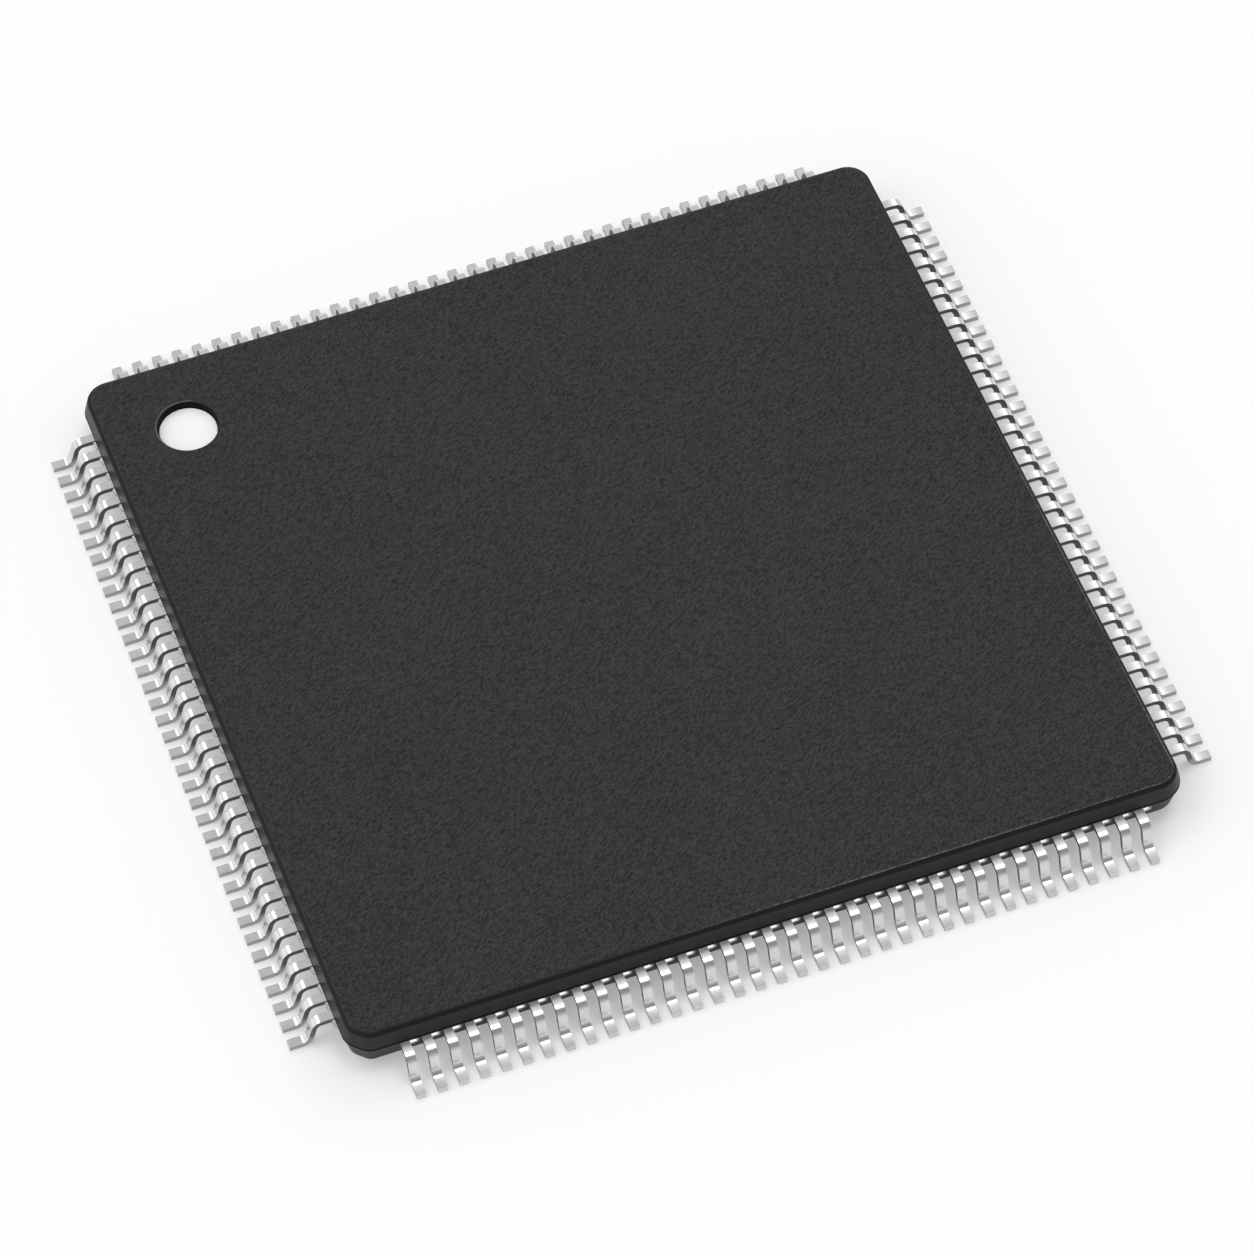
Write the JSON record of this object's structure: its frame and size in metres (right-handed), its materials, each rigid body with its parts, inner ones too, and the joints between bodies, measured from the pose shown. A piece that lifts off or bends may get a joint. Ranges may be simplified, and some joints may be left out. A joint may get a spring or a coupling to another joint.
{
  "type": "quad flat pack chip",
  "caption": "Thin square moulded chip package with gull-wing leads on all four sides and a round pin-one dimple.",
  "frame": {"origin": "centre of the seating plane under the lead feet", "axes": "+Z out of the marked top face; the pin-one dimple is at the -X, +Y corner"},
  "size_m": [0.0222, 0.0222, 0.0012],
  "materials": {
    "mould_compound": "matt black epoxy mould compound with a fine spark-eroded grain",
    "white_ink": "satin white marking ink",
    "tinned_lead": "satin matt-tin plating over copper alloy",
    "bare_copper_alloy": "bare copper alloy, stamped",
    "silver_epoxy": "silver-filled epoxy",
    "silicon": "polished silicon"
  },
  "bodies": {
    "root": {"back_leads_109_111": "tinned_lead", "back_leads_112_114": "tinned_lead", "back_leads_115_117": "tinned_lead", "back_leads_118_120": "tinned_lead", "back_leads_121_123": "tinned_lead", "back_leads_124_126": "tinned_lead", "back_leads_127_129": "tinned_lead", "back_leads_130_132": "tinned_lead", "back_leads_133_135": "tinned_lead", "back_leads_136_138": "tinned_lead", "back_leads_139_141": "tinned_lead", "back_leads_142_144": "tinned_lead", "die_attach": "silver_epoxy", "die_paddle": "bare_copper_alloy", "front_leads_037_039": "tinned_lead", "front_leads_040_042": "tinned_lead", "front_leads_043_045": "tinned_lead", "front_leads_046_048": "tinned_lead", "front_leads_049_051": "tinned_lead", "front_leads_052_054": "tinned_lead", "front_leads_055_057": "tinned_lead", "front_leads_058_060": "tinned_lead", "front_leads_061_063": "tinned_lead", "front_leads_064_066": "tinned_lead", "front_leads_067_069": "tinned_lead", "front_leads_070_072": "tinned_lead", "left_leads_001_003": "tinned_lead", "left_leads_004_006": "tinned_lead", "left_leads_007_009": "tinned_lead", "left_leads_010_012": "tinned_lead", "left_leads_013_015": "tinned_lead", "left_leads_016_018": "tinned_lead", "left_leads_019_021": "tinned_lead", "left_leads_022_024": "tinned_lead", "left_leads_025_027": "tinned_lead", "left_leads_028_030": "tinned_lead", "left_leads_031_033": "tinned_lead", "left_leads_034_036": "tinned_lead", "package_body": "mould_compound", "pin_one_mark": "white_ink", "right_leads_073_075": "tinned_lead", "right_leads_076_078": "tinned_lead", "right_leads_079_081": "tinned_lead", "right_leads_082_084": "tinned_lead", "right_leads_085_087": "tinned_lead", "right_leads_088_090": "tinned_lead", "right_leads_091_093": "tinned_lead", "right_leads_094_096": "tinned_lead", "right_leads_097_099": "tinned_lead", "right_leads_100_102": "tinned_lead", "right_leads_103_105": "tinned_lead", "right_leads_106_108": "tinned_lead", "silicon_die": "silicon"}
  },
  "joints": []
}
